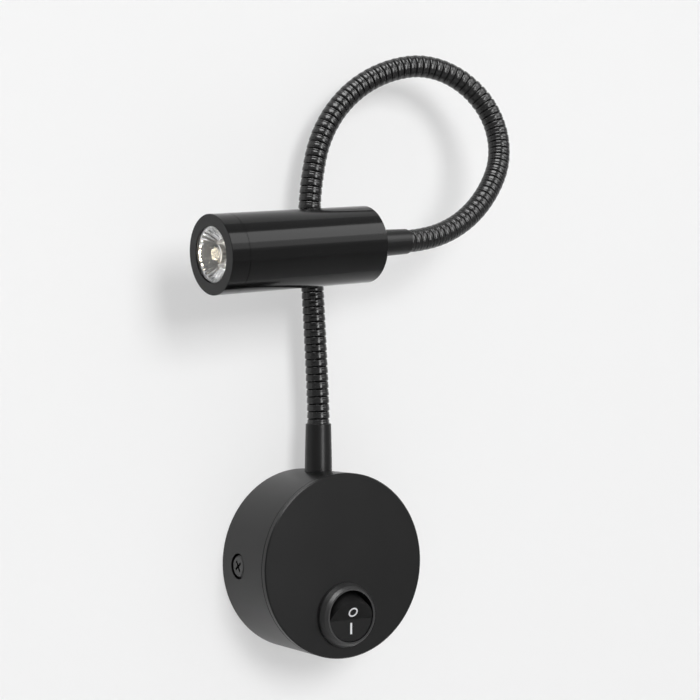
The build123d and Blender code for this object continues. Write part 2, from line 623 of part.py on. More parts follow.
def driver_lid():
    """Lid on the tray's mouth with a lip inside it."""
    half = DRIVER_HALF
    inner = half - DRIVER_WALL - SLIP
    low, high = DRIVER_BOTTOM + DRIVER_WALL + SLIP, DRIVER_TOP - DRIVER_WALL - SLIP
    lid = block(-half, half, DRIVER_BACK, DRIVER_BACK + DRIVER_WALL, DRIVER_BOTTOM, DRIVER_TOP)
    lip_top = DRIVER_BACK + 2 * DRIVER_WALL
    lip = block(-inner, inner, DRIVER_BACK, lip_top, low, high)
    lip -= block(DRIVER_WALL - inner, inner - DRIVER_WALL, DRIVER_BACK, FACE_INSIDE,
                 low + DRIVER_WALL, high - DRIVER_WALL)
    return lid + lip


def driver_board():
    """Circuit board on the tray's floor."""
    half = DRIVER_HALF - DRIVER_WALL - DRIVER_BOARD_GAP
    edge = DRIVER_WALL + DRIVER_BOARD_GAP
    return block(-half, half, BOARD_BACK, FACE_INSIDE - DRIVER_WALL, DRIVER_BOTTOM + edge, DRIVER_TOP - edge)


def driver_capacitor():
    """Electrolytic can lying on the board."""
    radius = CAPACITOR_DIAMETER / 2
    can = rod(radius, 0, CAPACITOR_LENGTH)
    groove = CAPACITOR_LENGTH - radius / 2
    can -= turned((groove, radius * 0.9), (groove, 2 * radius), (groove + radius / 8, 2 * radius),
                  (groove + radius / 8, radius * 0.9))
    z = DRIVER_TOP - CAPACITOR_TOP_GAP - radius
    return Pos(CAPACITOR_INSET - DRIVER_HALF, radius + RUNNING - BOARD_BACK, z) * can


def driver_transformer():
    """Core with its wound bobbin between two cheeks."""
    wide, high = TRANSFORMER_WIDTH / 2, TRANSFORMER_HEIGHT / 2
    x = DRIVER_HALF - TRANSFORMER_INSET - wide
    z = (DRIVER_BOTTOM + DRIVER_TOP) / 2
    back = BOARD_BACK - TRANSFORMER_DEPTH
    core = block(x - wide, x + wide, back, BOARD_BACK, z - high, z + high)
    for side in (-1, 1):
        window = block(-wide / 3, wide / 3, back, BOARD_BACK - DRIVER_WALL, -high, high)
        core -= Pos(x, 0, z + side * high * 1.5) * window
    return core


# ---- leads ----

def base_leads():
    """Leads between the terminal block, the switch, the driver and the earth lug."""
    load_z = SWITCH_Z + LOAD_TERMINAL_Z
    blade_end = TERMINAL_TIP - RUNNING
    clamp = BLOCK_BOTTOM + BLOCK_HEIGHT / 3
    driver_end = DRIVER_BOTTOM + DRIVER_WALL + LEAD_END
    low = DRIVER_BOTTOM - LEAD_DROP
    earth, neutral, live = (pole_x(pole) for pole in range(POLES))
    live_lead = lead(LEAD_DIAMETER, (live, POLE_OUT, clamp), (live, POLE_OUT, 1),
                     (0, POLE_OUT, SWITCH_Z), (0, blade_end, SWITCH_Z))
    switched_lead = lead(LEAD_DIAMETER, (0, blade_end, load_z), (0, 6.3, load_z),
                         (SWITCHED_X, 8, load_z - 1.5), (SWITCHED_X, DRIVER_LEAD_OUT, low - 1.5),
                         (SWITCHED_X, DRIVER_LEAD_OUT, driver_end))
    neutral_lead = lead(LEAD_DIAMETER, (neutral, POLE_OUT, clamp), (neutral, POLE_OUT, 7),
                        (NEUTRAL_X, 9.5, -4), (NEUTRAL_X, DRIVER_LEAD_OUT, low),
                        (NEUTRAL_X, DRIVER_LEAD_OUT, driver_end))
    lug_end = EARTH_Z + LUG_BARREL_BOTTOM + LUG_BARREL / 2
    earth_lead = lead(LEAD_DIAMETER, (earth, POLE_OUT, clamp), (earth, POLE_OUT, 4),
                      (EARTH_X, LUG_OUT, lug_end + 7), (EARTH_X, LUG_OUT, lug_end))
    return [live_lead, switched_lead, neutral_lead, earth_lead]


# ---- neck ----

def neck_directions():
    """Unit vectors along the links, bottom first."""
    turn, lean = 0.0, 0.0
    directions = [Vector(0, 0, 1)]
    for joints, curl, outward in zip(NECK_JOINT_COUNT, NECK_CURL_DEGREES, NECK_LEAN_DEGREES):
        for _ in range(joints):
            turn += curl
            lean += outward
            level = cos(radians(lean))
            sideways_part = sin(radians(turn)) * level
            directions.append(Vector(sideways_part, -sin(radians(lean)), cos(radians(turn)) * level))
    return directions


def neck_points(directions):
    """Ends of the links: the first link's lower end, each joint, and the last link's upper end."""
    points = [Vector(0, -NECK_OUT, NECK_START)]
    for direction in directions:
        points.append(points[-1] + direction * LINK_PITCH)
    return points


def along(origin, direction):
    """Frame whose X runs along the neck."""
    across = direction.cross(Vector(0, -1, 0)).normalized()
    return Plane(origin=origin, x_dir=direction, z_dir=across).location


def rib(station):
    """One rib about X: a ruled loft through its two feet and the two edges of its crest."""
    rings = ((-RIB_FOOT / 2, GROOVE_DIAMETER), (-RIB_CREST / 2, RIB_DIAMETER),
             (RIB_CREST / 2, RIB_DIAMETER), (RIB_FOOT / 2, GROOVE_DIAMETER))
    return loft([Plane.YZ.offset(station + shift) * Circle(size / 2) for shift, size in rings], ruled=True)


def neck_link():
    """Ribbed link along X: a socket at X = 0, a ball at the other end and a bore for the lamp lead."""
    slope = tan(radians((MAX_BEND + BEND_MARGIN) / 2))
    far = RIB_DIAMETER
    link = rod(GROOVE_DIAMETER / 2, 0, LINK_PITCH)
    spacing = LINK_PITCH / LINK_RIBS
    for number in range(LINK_RIBS):
        link += rib((number + 0.5) * spacing)
    link -= turned((-far, 0), (0, 0), (slope * far, far), (-far, far))
    link -= turned((LINK_PITCH, 0), (LINK_PITCH + far, 0), (LINK_PITCH + far, far),
                   (LINK_PITCH - slope * far, far))
    link += ball(BALL_DIAMETER / 2, LINK_PITCH)
    link -= ball(BALL_DIAMETER / 2 + RUNNING)
    return link - rod(LINK_BORE / 2, -far, LINK_PITCH + far)


def sleeve(length, root, lip, nipple):
    """Tapered sleeve along X from its seat at X = 0, with a threaded nipple behind the seat."""
    bottom = length - NECK_TUCK - BALL_DIAMETER / 2
    grip = RIB_DIAMETER / 2 + RUNNING
    tip = RIB_DIAMETER / 2 + lip
    return turned((-nipple, NIPPLE_BORE / 2), (-nipple, NIPPLE_DIAMETER / 2), (0, NIPPLE_DIAMETER / 2),
                  (0, root / 2), (length * 0.4, root / 2 - SLEEVE_ROUND / 2),
                  (length - SLEEVE_ROUND, tip), (length, tip - SLEEVE_ROUND),
                  (length, grip), (bottom, grip), (bottom, NIPPLE_BORE / 2))


def neck_lead(points, directions):
    """Lamp lead from the driver up the neck to the LED board, on runs joined by arcs."""
    driver_end = DRIVER_BOTTOM + DRIVER_WALL + LEAD_END
    low = DRIVER_BOTTOM - LEAD_DROP
    start = [(LAMP_LEAD_X, DRIVER_LEAD_OUT, driver_end), (LAMP_LEAD_X, DRIVER_LEAD_OUT, low),
             (LAMP_LEAD_X + 5, CHANNEL_OUT, low + 3.5), (LAMP_LEAD_X + 1, CHANNEL_OUT, 4),
             (0, CHANNEL_OUT, 10)]
    route = [Vector(x, -out, z) for x, out, z in start] + points[1:-1]
    route.append(points[-1] + directions[-1] * BOARD_REAR)
    return lead(NECK_LEAD_DIAMETER, *[(p.X, -p.Y, p.Z) for p in route])


# ---- head, along X from the last link's upper end ----

def head_body():
    """Tube with a closed rear that the neck's sleeve is fastened in."""
    radius = HEAD_DIAMETER / 2
    inner = HEAD_BORE - HEAD_SHOULDER
    floor = HEAD_BACK + HEAD_REAR
    hole = NIPPLE_DIAMETER / 2 + SLIP
    return turned((HEAD_BACK, hole), (HEAD_BACK, radius - HEAD_EDGE), (HEAD_BACK + HEAD_EDGE, radius),
                  (RING_BACK, radius), (RING_BACK, HEAD_BORE), (HEAT_SINK_REAR, HEAD_BORE),
                  (HEAT_SINK_REAR, inner), (floor, inner), (floor, hole))


def head_ring():
    """Screwed front ring: a lip in front of the lens flange and a spigot inside the tube."""
    radius = HEAD_DIAMETER / 2
    back = RING_BACK - SPIGOT_LENGTH
    return turned((back, SPIGOT_BORE), (back, SPIGOT_RADIUS), (RING_BACK, SPIGOT_RADIUS),
                  (RING_BACK, radius - RING_SEAM), (RING_BACK + RING_SEAM, radius),
                  (HEAD_FRONT - RING_BEVEL, radius), (HEAD_FRONT, radius - RING_BEVEL),
                  (HEAD_FRONT, LENS_OPENING + RING_BEVEL), (HEAD_FRONT - RING_BEVEL, LENS_OPENING),
                  (LENS_FACE, LENS_OPENING), (LENS_FACE, SPIGOT_BORE))


def lens_side():
    """Stations down the lens's bulging cone, from its flange to its back."""
    stations = []
    for step in range(LENS_STATIONS + 1):
        share = step / LENS_STATIONS
        radius = LENS_CONE + (LENS_REAR / 2 - LENS_CONE) * share ** LENS_SWELL
        stations.append((FLANGE_BACK + (LENS_BACK - FLANGE_BACK) * share, radius))
    return stations


def lens():
    """Clear collimating lens: a front that fills the ring, a flange, a cone and a domed pocket."""
    front = HEAD_FRONT - LENS_RECESS
    edge = LENS_OPENING - LENS_EDGE_GAP
    pocket = LENS_POCKET / 2
    depth = LENS_BACK + LENS_POCKET_DEPTH
    dome = []
    for step in range(LENS_STATIONS + 1):
        share = 1 - step / LENS_STATIONS
        dome.append((depth - LENS_CROWN * (1 - share ** 2), pocket * share))
    return turned((front, 0), (front, edge - LENS_EDGE), (front - LENS_EDGE, edge), (LENS_FACE, edge),
                  (LENS_FACE, LENS_RADIUS), (FLANGE_BACK, LENS_RADIUS), *lens_side(),
                  (LENS_BACK, pocket), *dome)


def lens_holder():
    """Cup round the lens, standing on the board, with pockets over the board's screws."""
    flange = LENS_RADIUS + SLIP
    inside = [(x, radius + HOLDER_GAP) for x, radius in lens_side()]
    cup = turned((BOARD_FRONT, HOLDER_RADIUS), (LENS_FACE - SLIP, HOLDER_RADIUS), (LENS_FACE - SLIP, flange),
                 (FLANGE_BACK, flange), *inside, (BOARD_FRONT, inside[-1][1]))
    for side in (-1, 1):
        pocket = rod(BOARD_HEAD_DIAMETER / 2 + HOLDER_GAP, BOARD_FRONT - BOARD_HEAD_HEIGHT,
                     BOARD_FRONT + BOARD_HEAD_HEIGHT + HOLDER_GAP)
        cup -= Pos(0, side * BOARD_SCREW_RADIUS, 0) * pocket
    return cup


def led_board():
    """Aluminium-core board on the heat sink."""
    board = rod(BOARD_RADIUS, BOARD_REAR, BOARD_FRONT)
    for side in (-1, 1):
        hole = rod(BOARD_SCREW_DIAMETER / 2 + SLIP, BOARD_REAR - BOARD_THICKNESS,
                   BOARD_FRONT + BOARD_THICKNESS)
        board -= Pos(0, side * BOARD_SCREW_RADIUS, 0) * hole
    return board


def led_emitter():
    """Round LED package with its dome."""
    package = rod(EMITTER_DIAMETER / 2, BOARD_FRONT, BOARD_FRONT + EMITTER_HEIGHT)
    dome = Pos(BOARD_FRONT + EMITTER_HEIGHT, 0, 0) * Sphere(EMITTER_DOME / 2)
    return package + (dome & rod(EMITTER_DIAMETER, BOARD_FRONT + EMITTER_HEIGHT / 2, LENS_FACE))


def heat_sink():
    """Slug with ring fins, a bore for the lead and threads for the board's screws."""
    radius = HEAD_BORE - SLIP
    slug = rod(radius, HEAT_SINK_REAR, BOARD_REAR)
    spacing = HEAT_SINK_LENGTH / FINS
    for fin in range(1, FINS):
        middle = HEAT_SINK_REAR + fin * spacing
        slug -= turned((middle - FIN_GAP / 2, radius - FIN_DEPTH), (middle - FIN_GAP / 2, 2 * radius),
                       (middle + FIN_GAP / 2, 2 * radius), (middle + FIN_GAP / 2, radius - FIN_DEPTH))
    slug -= rod(HEAT_SINK_BORE / 2, HEAT_SINK_REAR - FIN_GAP, BOARD_FRONT)
    for side in (-1, 1):
        depth = BOARD_FRONT - BOARD_SCREW_LENGTH - FIN_GAP
        hole = rod(BOARD_SCREW_DIAMETER / 2 + RUNNING, depth, BOARD_FRONT)
        slug -= Pos(0, side * BOARD_SCREW_RADIUS, 0) * hole
    return slug


def board_screw(side):
    """Small pan head screw through the board into the heat sink."""
    tip = BOARD_FRONT - BOARD_SCREW_LENGTH
    top = BOARD_FRONT + BOARD_HEAD_HEIGHT
    screw = turned((tip, 0), (tip, BOARD_SCREW_DIAMETER / 2), (BOARD_FRONT, BOARD_SCREW_DIAMETER / 2),
                   (BOARD_FRONT, BOARD_HEAD_DIAMETER / 2), (top, BOARD_HEAD_DIAMETER / 2), (top, 0))
    return Pos(0, side * BOARD_SCREW_RADIUS, 0) * screw


# ---- build ----

export("base_housing", base_housing())
export("wall_plate", wall_plate())
export("side_screws", side_screw(-1), side_screw(1))
export("inlet_grommet", inlet_grommet())
export("terminal_block", terminal_block())
export("terminal_screws", *[terminal_screw(pole) for pole in range(POLES)])
export("earth_lug", earth_lug())
export("earth_screw", earth_screw())
export("switch_body", switch_body())
export("switch_terminals", common_terminal(), load_terminal())
export("switch_contact", switch_contact())
export("switch_rocker", switch_rocker())
export("switch_plunger", switch_plunger())
export("switch_spring", switch_spring())
export("rocker_marks", *rocker_marks())
export("driver_case", driver_case())
export("driver_lid", driver_lid())
export("driver_board", driver_board())
export("driver_capacitor", driver_capacitor())
export("driver_transformer", driver_transformer())
export("base_leads", *base_leads())

link_directions = neck_directions()
link_points = neck_points(link_directions)
one_link = neck_link()
for number, (point, direction) in enumerate(zip(link_points, link_directions), start=1):
    export(f"neck_link_{number:02d}", along(point, direction) * one_link)

base_nipple = SLEEVE_SEAT - NUT_BOTTOM
head_nipple = HEAD_REAR + NUT_FLANGE_HEIGHT + NUT_HEIGHT + NIPPLE_SPARE
export("base_sleeve", upright(NECK_OUT, SLEEVE_SEAT) * sleeve(
    BASE_SLEEVE_LENGTH, BASE_SLEEVE_ROOT, BASE_SLEEVE_LIP, base_nipple))
export("base_nut", upright(NECK_OUT, BOSS_FLAT) * flange_nut())
export("neck_lead", neck_lead(link_points, link_directions))

head = along(link_points[-1], link_directions[-1])
flipped = Pos(HEAD_BACK, 0, 0) * Rot(0, 180, 0)
export("head_sleeve", head * flipped * sleeve(
    HEAD_SLEEVE_LENGTH, HEAD_SLEEVE_ROOT, HEAD_SLEEVE_LIP, head_nipple))
export("head_nut", head * Pos(HEAD_BACK + HEAD_REAR, 0, 0) * Rot(0, 180, 0) * flange_nut())
export("head_body", head * head_body())
export("head_ring", head * head_ring())
export("lens", head * lens())
export("lens_holder", head * lens_holder())
export("led_board", head * led_board())
export("led_emitter", head * led_emitter())
export("heat_sink", head * heat_sink())
export("board_screws", head * board_screw(-1), head * board_screw(1))
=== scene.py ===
import json
from math import cos, pi, radians, sin

import bmesh
import bpy
from mathutils import Matrix, Vector


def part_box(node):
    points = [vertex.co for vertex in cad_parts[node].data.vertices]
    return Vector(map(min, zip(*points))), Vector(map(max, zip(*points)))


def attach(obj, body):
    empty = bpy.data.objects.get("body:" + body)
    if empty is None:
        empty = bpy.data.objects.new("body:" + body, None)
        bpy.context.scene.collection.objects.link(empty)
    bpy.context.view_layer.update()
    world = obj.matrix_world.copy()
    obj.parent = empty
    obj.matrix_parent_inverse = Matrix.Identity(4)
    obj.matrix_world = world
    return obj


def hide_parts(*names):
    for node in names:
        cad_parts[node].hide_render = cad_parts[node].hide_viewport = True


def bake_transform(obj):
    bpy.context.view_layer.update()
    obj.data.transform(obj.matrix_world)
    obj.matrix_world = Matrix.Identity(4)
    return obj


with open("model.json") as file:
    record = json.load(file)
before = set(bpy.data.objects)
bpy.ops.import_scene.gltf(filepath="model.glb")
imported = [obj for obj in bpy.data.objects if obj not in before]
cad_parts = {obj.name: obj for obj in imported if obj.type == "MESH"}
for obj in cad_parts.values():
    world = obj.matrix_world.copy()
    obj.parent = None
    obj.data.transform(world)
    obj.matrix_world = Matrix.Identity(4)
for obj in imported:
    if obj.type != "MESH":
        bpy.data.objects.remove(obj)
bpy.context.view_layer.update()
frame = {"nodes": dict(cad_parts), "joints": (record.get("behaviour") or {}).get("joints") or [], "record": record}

MM = 0.001
UP = Vector((0, 0, 1))
WHITE = (1.0, 1.0, 1.0, 1.0)


def placed(name, data):
    """Object of that name in the scene, for a mesh, a curve, a camera or a lamp."""
    made = bpy.data.objects.new(name, data)
    bpy.context.collection.objects.link(made)
    return made


# ---- camera ----

CAMERA_PLACE = Vector((-0.3286, -0.5358, 0.07402))
CAMERA_YAW = radians(33.196)        # to the right of straight at the wall
CAMERA_PITCH = radians(0.262)
CAMERA_LENS = 87.07                 # millimetres, as the sensor
SENSOR = 36.0


def facing(forward):
    """Rotation of a camera or lamp that looks along forward."""
    right = forward.cross(UP).normalized()
    return Matrix((right, right.cross(forward), -forward)).transposed().to_4x4()


def camera():
    """Camera at the viewing angle, to the left of the lamp and almost level."""
    level = cos(CAMERA_PITCH)
    forward = Vector((sin(CAMERA_YAW) * level, cos(CAMERA_YAW) * level, sin(CAMERA_PITCH)))
    lens = bpy.data.cameras.new("camera")
    lens.lens = CAMERA_LENS
    lens.sensor_width = SENSOR
    made = placed("camera", lens)
    made.matrix_world = Matrix.Translation(CAMERA_PLACE) @ facing(forward)
    bpy.context.scene.camera = made


# ---- node trees ----

def wire(tree, source, target):
    """Joins an output to an input, or sets the input where source is a plain value."""
    if isinstance(source, bpy.types.NodeSocket):
        tree.links.new(source, target)
    else:
        target.default_value = source


def add(tree, kind, settings=None, **inputs):
    """A node of that kind, with its settings and its inputs by name."""
    node = tree.nodes.new(kind)
    for name, value in (settings or {}).items():
        setattr(node, name, value)
    for name, value in inputs.items():
        wire(tree, value, node.inputs[name.replace("_", " ")])
    return node


def worked(tree, kind, operation, values):
    """Result of an operation on outputs or plain values, in their order."""
    node = add(tree, kind, {"operation": operation})
    for place, value in enumerate(values):
        wire(tree, value, node.inputs[place])
    return node.outputs[0]


def maths(tree, operation, *values):
    """Result of an operation on numbers."""
    return worked(tree, "ShaderNodeMath", operation, values)


def vectors(tree, operation, *values):
    """Result of an operation on vectors."""
    return worked(tree, "ShaderNodeVectorMath", operation, values)


def mixture(tree, share, first, second):
    """Colour that runs from the first to the second as share goes from 0 to 1."""
    mix = add(tree, "ShaderNodeMix", {"data_type": "RGBA"}, Factor=share,
              A=(*first, 1), B=(*second, 1))
    return mix.outputs["Result"]


def spread(tree, value, low, high):
    """Value from 0 to 1 taken to low to high."""
    node = add(tree, "ShaderNodeMapRange", Value=value)
    node.inputs["To Min"].default_value = low
    node.inputs["To Max"].default_value = high
    return node.outputs[0]


def sockets(tree, inputs, outputs):
    """Adds the group's sockets, each given as (name, kind, start), and its two end nodes."""
    for way, listed in (("INPUT", inputs), ("OUTPUT", outputs)):
        for name, kind, start in listed:
            socket = tree.interface.new_socket(name, in_out=way, socket_type=kind)
            if start is not None:
                socket.default_value = start
    return tree.nodes.new("NodeGroupInput"), tree.nodes.new("NodeGroupOutput")


# ---- effects that several finishes share ----

GRAIN_SHARE = 0.4               # of the grain in a coat's shade, the rest is the broad drift
LINE_SHARE = 0.5                # of the lines in a drawn metal's shade, the rest is cloud
CLOUD_SIZE = 9 * MM


def scale_for(tree, size):
    """Noise scale whose features are of that size in millimetres."""
    return maths(tree, "DIVIDE", 1 / MM, size)


def weighted(tree, fine, broad, share):
    """Shade with that share of the fine pattern and the rest of the broad one."""
    return maths(tree, "ADD", maths(tree, "MULTIPLY", fine.outputs["Fac"], share),
                 maths(tree, "MULTIPLY", broad.outputs["Fac"], 1 - share))


def coat_effect():
    """Fine grain of a sprayed or moulded surface, with broad drifts in its shade."""
    tree = bpy.data.node_groups.new("coat grain", "ShaderNodeTree")
    given, out = sockets(
        tree,
        [("Grain Size", "NodeSocketFloat", 0.4), ("Drift Size", "NodeSocketFloat", 18.0)],
        [("Height", "NodeSocketFloat", None), ("Shade", "NodeSocketFloat", None)])
    place = add(tree, "ShaderNodeTexCoord").outputs["Object"]
    grain = add(tree, "ShaderNodeTexNoise", Vector=place, Detail=3.0, Roughness=0.6,
                Scale=scale_for(tree, given.outputs["Grain Size"]))
    drift = add(tree, "ShaderNodeTexNoise", Vector=place, Detail=2.0, Roughness=0.5,
                Scale=scale_for(tree, given.outputs["Drift Size"]))
    wire(tree, grain.outputs["Fac"], out.inputs["Height"])
    wire(tree, weighted(tree, grain, drift, GRAIN_SHARE), out.inputs["Shade"])
    return tree


def line_effect():
    """Fine lines of drawn metal, along Z."""
    tree = bpy.data.node_groups.new("drawn lines", "ShaderNodeTree")
    given, out = sockets(
        tree,
        [("Line Width", "NodeSocketFloat", 0.15), ("Line Length", "NodeSocketFloat", 6.0)],
        [("Height", "NodeSocketFloat", None), ("Shade", "NodeSocketFloat", None)])
    place = add(tree, "ShaderNodeTexCoord").outputs["Object"]
    across = scale_for(tree, given.outputs["Line Width"])
    lengthwise = scale_for(tree, given.outputs["Line Length"])
    stretched = add(tree, "ShaderNodeCombineXYZ", X=across, Y=across, Z=lengthwise)
    lines = add(tree, "ShaderNodeTexNoise", Scale=1.0, Detail=2.0,
                Vector=vectors(tree, "MULTIPLY", place, stretched.outputs[0]))
    cloud = add(tree, "ShaderNodeTexNoise", Vector=place, Scale=1 / CLOUD_SIZE, Detail=1.0)
    wire(tree, lines.outputs["Fac"], out.inputs["Height"])
    wire(tree, weighted(tree, lines, cloud, LINE_SHARE), out.inputs["Shade"])
    return tree


COAT = coat_effect()
LINES = line_effect()
COOL = 1.02                     # blue of a grey, to its red and green


def finish(name, effect, sizes, dark, light, smooth, rough, relief, **fixed):
    """Material from an effect with its two sizes. The effect's shade runs the colour from dark to
    light and the roughness from smooth to rough, and its height gives a relief of that many
    millimetres. The other values are set on the surface itself."""
    made = bpy.data.materials.new(name)
    made.use_nodes = True
    tree = made.node_tree
    surface = tree.nodes["Principled BSDF"]
    group = tree.nodes.new("ShaderNodeGroup")
    group.node_tree = effect
    for place, size in enumerate(sizes):
        group.inputs[place].default_value = size
    shade = group.outputs["Shade"]
    wire(tree, mixture(tree, shade, dark, light), surface.inputs["Base Color"])
    wire(tree, spread(tree, shade, smooth, rough), surface.inputs["Roughness"])
    bump = add(tree, "ShaderNodeBump", Strength=1.0, Distance=relief * MM,
               Height=group.outputs["Height"])
    wire(tree, bump.outputs[0], surface.inputs["Normal"])
    for socket, value in fixed.items():
        surface.inputs[socket.replace("_", " ")].default_value = value
    return made


def grey(level):
    """Slightly cool grey."""
    return (level, level, level * COOL)


def finishes():
    """One material for each finish of the record."""
    made = {}

    def keep(name, *rest, **fixed):
        made[name] = finish(name, *rest, **fixed)

    keep("coat_satin", COAT, (0.35, 20), grey(0.003), grey(0.0055), 0.28, 0.38, 0.006,
         Specular_IOR_Level=0.3)
    keep("coat_gloss", COAT, (0.25, 14), grey(0.003), grey(0.005), 0.1, 0.16, 0.0008,
         Specular_IOR_Level=0.25)
    keep("neck_black", COAT, (0.2, 9), grey(0.003), grey(0.006), 0.16, 0.25, 0.001)
    keep("screw_black", COAT, (0.3, 3), grey(0.009), grey(0.02), 0.25, 0.45, 0.004)
    keep("switch_frame", COAT, (0.15, 6), grey(0.011), grey(0.017), 0.34, 0.44, 0.003,
         Specular_IOR_Level=0.6)
    keep("switch_key", COAT, (0.22, 6), grey(0.003), grey(0.006), 0.42, 0.55, 0.003,
         Specular_IOR_Level=0.2)
    keep("mark_white", COAT, (0.1, 1), grey(0.72), grey(0.86), 0.4, 0.55, 0.002)
    keep("board_white", COAT, (0.2, 4), grey(0.7), grey(0.82), 0.3, 0.4, 0.001)
    keep("holder_black", COAT, (0.3, 5), grey(0.012), grey(0.02), 0.45, 0.6, 0.004)
    keep("nylon", COAT, (0.3, 5), (0.72, 0.71, 0.67), (0.8, 0.79, 0.75), 0.4, 0.55, 0.003)
    keep("driver_white", COAT, (0.3, 12), grey(0.72), grey(0.82), 0.42, 0.55, 0.004)
    keep("board_green", COAT, (0.3, 5), (0.015, 0.12, 0.05), (0.03, 0.17, 0.08), 0.3, 0.4,
         0.002)
    keep("capacitor_sleeve", COAT, (0.3, 5), (0.02, 0.02, 0.05), (0.03, 0.035, 0.08), 0.2, 0.3,
         0.001)
    keep("ferrite", COAT, (0.25, 4), grey(0.03), grey(0.06), 0.5, 0.7, 0.01)
    keep("rubber_black", COAT, (0.3, 5), grey(0.012), grey(0.022), 0.6, 0.75, 0.005)
    keep("lead_jacket", COAT, (0.3, 8), grey(0.025), grey(0.04), 0.4, 0.55, 0.003)
    keep("bare_aluminium", LINES, (0.12, 5), grey(0.6), grey(0.75), 0.25, 0.4, 0.002,
         Metallic=1.0)
    keep("zinc_steel", LINES, (0.1, 4), grey(0.42), grey(0.58), 0.28, 0.45, 0.002,
         Metallic=1.0)
    keep("brass_part", LINES, (0.1, 4), (0.62, 0.44, 0.16), (0.78, 0.58, 0.26), 0.22, 0.38,
         0.002, Metallic=1.0)
    keep("clear_lens", COAT, (0.6, 8), (0.97, 0.98, 0.98), (1, 1, 1), 0.0, 0.03, 0.0,
         Transmission_Weight=1.0, IOR=1.49)
    keep("led_lit", COAT, (0.3, 2), (0.95, 0.86, 0.6), (1.0, 0.92, 0.7), 0.4, 0.5, 0.0,
         Emission_Color=(1.0, 0.9, 0.7, 1.0), Emission_Strength=40.0)
    return made


# ---- neck ----

NECK_LINKS = 26
NECK_BODIES = (["base"] + ["neck_%02d" % number for number in range(2, NECK_LINKS)]
               + ["head"])
RIBS_PER_LINK = 4
GROOVE_RADIUS = 3.5 * MM
RIB_HEIGHT = 0.6 * MM
RIB_ROWS = 16
NECK_SIDES = 32
TUBE_SHARP = radians(62)        # bends of the surface past this stay hard edges
# height of a rib along its pitch: a broad crest, a shallow crease and a narrower band
RIB_FORM = ((0.0, 0.0), (0.05, 0.55), (0.1, 0.84), (0.18, 0.97), (0.34, 1.0), (0.5, 0.97),
            (0.6, 0.86), (0.655, 0.74), (0.71, 0.83), (0.8, 0.88), (0.88, 0.8), (0.95, 0.5),
            (1.0, 0.0))
RIB_NUDGE = 0.0001              # of a pitch, so that a rib's first row never reads as its last
COURSE_STEPS = 24               # points that a curve has from one knot to the next
HANDLE = 2 / 3                  # reach of a bend's handles, towards the joint it turns about


def ribbed_tube():
    """Sweeps a round tube along a curve and raises ribs across it."""
    tree = bpy.data.node_groups.new("ribbed tube", "GeometryNodeTree")
    given, out = sockets(
        tree,
        [("Geometry", "NodeSocketGeometry", None), ("Ribs", "NodeSocketInt", RIBS_PER_LINK),
         ("Rows", "NodeSocketInt", RIB_ROWS), ("Sides", "NodeSocketInt", NECK_SIDES),
         ("Groove Radius", "NodeSocketFloat", GROOVE_RADIUS),
         ("Rib Height", "NodeSocketFloat", RIB_HEIGHT),
         ("Finish", "NodeSocketMaterial", None)],
        [("Geometry", "NodeSocketGeometry", None)])
    given = given.outputs
    place = tree.nodes.new("GeometryNodeInputPosition").outputs[0]
    rows = maths(tree, "ADD", maths(tree, "MULTIPLY", given["Ribs"], given["Rows"]), 1.0)
    course = add(tree, "GeometryNodeResampleCurve", Curve=given["Geometry"], Count=rows)
    marked = add(tree, "GeometryNodeCaptureAttribute", {"domain": "POINT"})
    marked.capture_items.new("VECTOR", "Centre")
    marked.capture_items.new("FLOAT", "Along")
    along = tree.nodes.new("GeometryNodeSplineParameter").outputs["Factor"]
    wire(tree, course.outputs[0], marked.inputs["Geometry"])
    wire(tree, place, marked.inputs["Centre"])
    wire(tree, along, marked.inputs["Along"])
    crest = maths(tree, "ADD", given["Groove Radius"], given["Rib Height"])
    ring = add(tree, "GeometryNodeCurvePrimitiveCircle", Resolution=given["Sides"], Radius=crest)
    tube = add(tree, "GeometryNodeCurveToMesh", Curve=marked.outputs["Geometry"],
               Profile_Curve=ring.outputs["Curve"], Fill_Caps=True)
    turns = maths(tree, "MULTIPLY", marked.outputs["Along"], given["Ribs"])
    phase = maths(tree, "FRACT", maths(tree, "ADD", turns, RIB_NUDGE))
    form = add(tree, "ShaderNodeFloatCurve", Value=phase)
    line = form.mapping.curves[0]
    for station in RIB_FORM[1:-1]:
        line.points.new(*station)
    for point, station in zip(line.points, RIB_FORM):
        point.location = station
    form.mapping.update()
    height = maths(tree, "MULTIPLY", form.outputs[0], given["Rib Height"])
    share = maths(tree, "DIVIDE", maths(tree, "ADD", given["Groove Radius"], height), crest)
    outward = vectors(tree, "SUBTRACT", place, marked.outputs["Centre"])
    scaled = add(tree, "ShaderNodeVectorMath", {"operation": "SCALE"}, Scale=share)
    wire(tree, outward, scaled.inputs[0])
    moved = add(tree, "GeometryNodeSetPosition", Geometry=tube.outputs[0],
                Position=vectors(tree, "ADD", marked.outputs["Centre"], scaled.outputs[0]))
    smooth = add(tree, "GeometryNodeSetShadeSmooth", Geometry=moved.outputs[0])
    single = add(tree, "GeometryNodeRealizeInstances", Geometry=smooth.outputs[0])
    coated = add(tree, "GeometryNodeSetMaterial", Geometry=single.outputs[0],
                 Material=given["Finish"])
    wire(tree, coated.outputs[0], out.inputs["Geometry"])
    return tree


def empty_course():
    """Curve that has no points yet."""
    data = bpy.data.curves.new("course", "CURVE")
    data.dimensions = "3D"
    data.resolution_u = COURSE_STEPS
    return data


def bent_course(corners):
    """Curve of Bezier arcs through points, each given as (point, handle before, handle after)."""
    data = empty_course()
    spline = data.splines.new("BEZIER")
    spline.bezier_points.add(len(corners) - 1)
    for knot, (point, before, after) in zip(spline.bezier_points, corners):
        knot.handle_left_type = knot.handle_right_type = "FREE"
        knot.co, knot.handle_left, knot.handle_right = point, before, after
    return placed("course", data)


